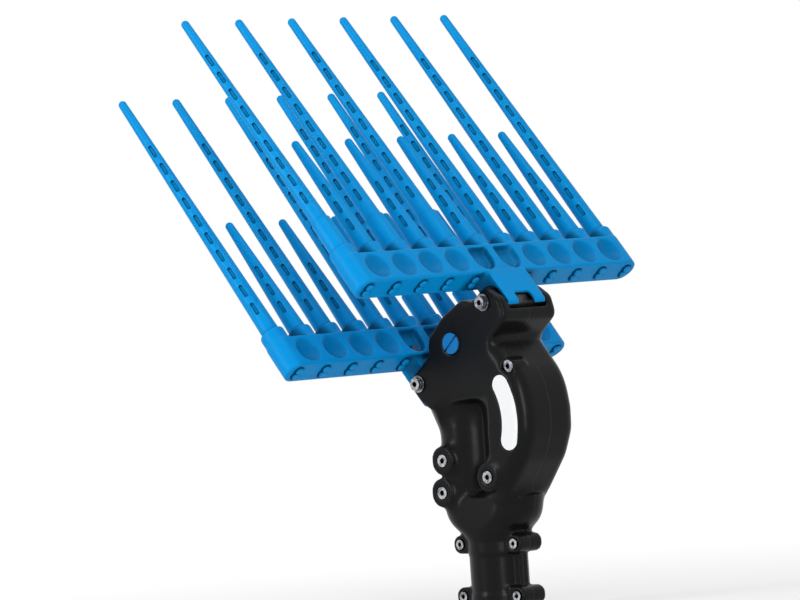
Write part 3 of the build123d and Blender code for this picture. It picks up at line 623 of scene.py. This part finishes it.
class HARVESTER_OT_combs(bpy.types.Operator):
    """Makes the moulded skins of the comb bars and finishes the tines"""

    bl_idname = "harvester.combs"
    bl_label = "Combs"

    def execute(self, context):
        sizes = context.scene.harvester_sizes
        colour = context.scene.harvester_colours.comb_blue
        # Painted shade darkens the hollows in the bars
        bar_blue = moulded(
            "bar_blue", colour, rough=0.38, grain=1500.0, depth=0.04, spread=0.05, wear_and_sheen=0.1, shine=0.06,
            hollow_shade=0.65, reach=0.018, open_from=0.7, open_to=1.0,
        )
        # Painted shade darkens the slots along the tines
        tine_blue = moulded(
            "tine_blue", colour, rough=0.34, grain=1500.0, depth=0.01, spread=0.04, wear_and_sheen=0.0, shine=0.06,
            hollow_shade=0.75, reach=0.004, open_to=0.9,
        )
        for side in SIDES:
            node = f"{side}_comb_bar"
            shape = skin_over([node], sizes.bar_voxel)
            smooth(shape, shape.verts, sizes.bar_smooth)
            corners = [vert for vert in shape.verts if within(abs(vert.co.x), BRACKET_X)]
            blend(shape, corners, sizes.bracket_blend)
            bar = piece_from(shape, node, bar_blue)
            bar.modifiers.new("Thin", "DECIMATE").ratio = sizes.bar_share
            paint(tine_blue, *(f"{side}_tine_{number:02d}" for number in TINES))
        return {"FINISHED"}


class HARVESTER_OT_fasteners(bpy.types.Operator):
    """Finishes the screws, washers, nuts, grease plug, seal and lead"""

    bl_idname = "harvester.fasteners"
    bl_label = "Fasteners and Plug"

    def execute(self, context):
        colours = context.scene.harvester_colours
        zinc = plated("zinc_plate", colours.zinc, rough=0.22, blotch=0.75)
        paint(zinc, "housing_screws", "clamp_screws", "pivot_screws", "motor_screws")
        paint(zinc, "clamp_nuts", "pivot_washers")
        paint(plated("black_steel", colours.lamination, rough=0.4), "front_comb_screws", "rear_comb_screws")
        blue = moulded(
            "plug_blue", colours.plug_blue, rough=0.34, grain=1500.0, depth=0.05, spread=0.05, wear_and_sheen=0.15,
        )
        paint(blue, "grease_plug")
        rubber = moulded("seal_rubber", colours.rubber, rough=0.6, grain=900.0, depth=0.1)
        paint(rubber, "plug_seal", "motor_lead")
        return {"FINISHED"}


class HARVESTER_OT_drive(bpy.types.Operator):
    """Finishes the levers, axles, motor, crank and inlet"""

    bl_idname = "harvester.drive"
    bl_label = "Drive"

    def execute(self, context):
        colours = context.scene.harvester_colours
        steel = plated("ground_steel", colours.ground_steel, rough=0.3)
        paint(steel, "front_axle", "rear_axle", "motor_shaft", "motor_bearings", "crank", "crank_roller")
        lever = plated("cast_lever", colours.lever_grey, rough=0.45, scratch=0.2)
        paint(lever, "front_lever", "rear_lever")
        alloy = plated("cast_alloy", colours.cast_alloy, rough=0.45, scratch=0.2)
        paint(alloy, "motor_case", "motor_cap")
        bronze = plated("bronze", colours.bronze, rough=0.4, scratch=0.15)
        paint(bronze, "front_bushes", "rear_bushes")
        paint(banded("lamination", colours.lamination, step=300.0), "motor_stator", "motor_rotor")
        paint(banded("copper_winding", colours.copper, step=220.0), "motor_windings")
        inlet = moulded("inlet_black", colours.housing_black, rough=0.5, grain=1500.0, depth=0.1)
        paint(inlet, "lead_connector")
        return {"FINISHED"}


class HARVESTER_OT_stage(bpy.types.Operator):
    """Sets up the floor, sky, lamps and camera"""

    bl_idname = "harvester.stage"
    bl_label = "Stage"

    def execute(self, context):
        scene = context.scene
        stage = scene.harvester_stage
        self.floor(scene, stage)
        self.sky(scene, stage)
        forward = Vector(stage.camera_forward).normalized()
        up = Vector(stage.camera_up).normalized()
        right = forward.cross(up).normalized()
        powers = {"key_lamp": stage.key, "top_lamp": stage.top, "fill_lamp": stage.fill}
        for name, ((across, away, above), size) in LAMPS.items():
            self.lamp(scene, name, AIM + right * across + forward * away + up * above, size, powers[name])
        camera = bpy.data.objects.new("camera", bpy.data.cameras.new("camera"))
        camera.data.lens = stage.lens
        camera.data.sensor_width = 36.0
        camera.data.clip_end = 200.0
        turn = Matrix((right, right.cross(forward), -forward)).transposed()
        camera.matrix_world = Matrix.Translation(Vector(stage.camera_place)) @ turn.to_4x4()
        scene.collection.objects.link(camera)
        scene.camera = camera
        scene.view_settings.view_transform = "Standard"
        return {"FINISHED"}

    def floor(self, scene, stage):
        """A floor that looks white from afar and keeps the part's shadow."""
        shape = bmesh.new()
        bmesh.ops.create_grid(shape, x_segments=1, y_segments=1, size=stage.floor_half)
        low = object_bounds()[0]
        bmesh.ops.translate(shape, verts=shape.verts, vec=(0.0, 0.0, low[2] - FLOOR_ROOM))
        mesh = bpy.data.meshes.new("floor")
        shape.to_mesh(mesh)
        shape.free()
        floor = bpy.data.objects.new("floor", mesh)
        scene.collection.objects.link(floor)
        material = bpy.data.materials.new("floor_white")
        material.use_nodes = True
        tree = material.node_tree
        tree.nodes.clear()
        start = Wire(tree)
        place = start.node("ShaderNodeTexCoord", out="Object")
        far = start.node("ShaderNodeVectorMath", {"operation": "LENGTH"}, {0: place}, out="Value")
        near = start.node(
            "ShaderNodeMapRange", {"interpolation_type": "SMOOTHSTEP"},
            {0: far, 1: FADE_START, 2: stage.floor_fade, 3: stage.floor_shadow, 4: 0.0},
        )
        plain = start.node("ShaderNodeBsdfDiffuse", values={"Color": FLOOR_GREY})
        white = start.node("ShaderNodeEmission", values={"Color": WHITE, "Strength": 1.0})
        self.output(start, "ShaderNodeOutputMaterial", self.seen(start) * (1.0 - near), plain, white)
        mesh.materials.append(material)
        floor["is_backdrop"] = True

    def sky(self, scene, stage):
        """An even soft light all round, which looks white itself."""
        world = bpy.data.worlds.new("studio")
        world.use_nodes = True
        world.node_tree.nodes.clear()
        start = Wire(world.node_tree)
        even = start.node("ShaderNodeBackground", values={"Color": WHITE, "Strength": stage.sky})
        white = start.node("ShaderNodeBackground", values={"Color": WHITE, "Strength": 1.0})
        self.output(start, "ShaderNodeOutputWorld", self.seen(start), even, white)
        scene.world = world

    def seen(self, start):
        """One where the camera, a reflection or a clear part looks, and nought for light."""
        camera = start.node("ShaderNodeLightPath", out="Is Camera Ray")
        glossy = start.node("ShaderNodeLightPath", out="Is Glossy Ray")
        clear = start.node("ShaderNodeLightPath", out="Is Transmission Ray")
        return start.maths("MAXIMUM", start.maths("MAXIMUM", camera, glossy), clear)

    def output(self, start, kind, share, first, second):
        """Mixes two shaders into an output node of the given kind."""
        mixed = start.node("ShaderNodeMixShader", values={0: share, 1: first, 2: second})
        node = start.tree.nodes.new(kind)
        start.tree.links.new(mixed.socket, node.inputs["Surface"])

    def lamp(self, scene, name, place, size, power):
        light = bpy.data.lights.new(name, "AREA")
        light.shape = "RECTANGLE"
        light.size, light.size_y = size
        light.energy = power
        lamp = bpy.data.objects.new(name, light)
        lamp.location = place
        lamp.rotation_mode = "QUATERNION"
        lamp.rotation_quaternion = (AIM - place).to_track_quat("-Z", "Y")
        scene.collection.objects.link(lamp)


class HARVESTER_PT_panel(bpy.types.Panel):
    """Lists the harvester's pieces, colours, sizes and stage"""

    bl_idname = "HARVESTER_PT_panel"
    bl_label = "Olive Harvester Head"
    bl_space_type = "VIEW_3D"
    bl_region_type = "UI"
    bl_category = "Harvester"

    def draw(self, context):
        for operator in OPERATORS:
            self.layout.operator(operator.bl_idname)
        for group in ("harvester_colours", "harvester_sizes", "harvester_stage"):
            settings = getattr(context.scene, group)
            box = self.layout.box()
            for name in settings.__annotations__:
                box.prop(settings, name)


GROUPS = (HarvesterColours, HarvesterSizes, HarvesterStage)
OPERATORS = (
    HARVESTER_OT_housing,
    HARVESTER_OT_combs,
    HARVESTER_OT_fasteners,
    HARVESTER_OT_drive,
    HARVESTER_OT_stage,
)


def register():
    for cls in (*GROUPS, *OPERATORS, HARVESTER_PT_panel):
        bpy.utils.register_class(cls)
    bpy.types.Scene.harvester_colours = bpy.props.PointerProperty(type=HarvesterColours)
    bpy.types.Scene.harvester_sizes = bpy.props.PointerProperty(type=HarvesterSizes)
    bpy.types.Scene.harvester_stage = bpy.props.PointerProperty(type=HarvesterStage)


def unregister():
    del bpy.types.Scene.harvester_colours
    del bpy.types.Scene.harvester_sizes
    del bpy.types.Scene.harvester_stage
    for cls in (HARVESTER_PT_panel, *reversed(OPERATORS), *reversed(GROUPS)):
        bpy.utils.unregister_class(cls)


def main():
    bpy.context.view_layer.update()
    register()
    bpy.ops.harvester.housing()
    bpy.ops.harvester.combs()
    bpy.ops.harvester.fasteners()
    bpy.ops.harvester.drive()
    bpy.ops.harvester.stage()


if __name__ == "__main__":
    main()
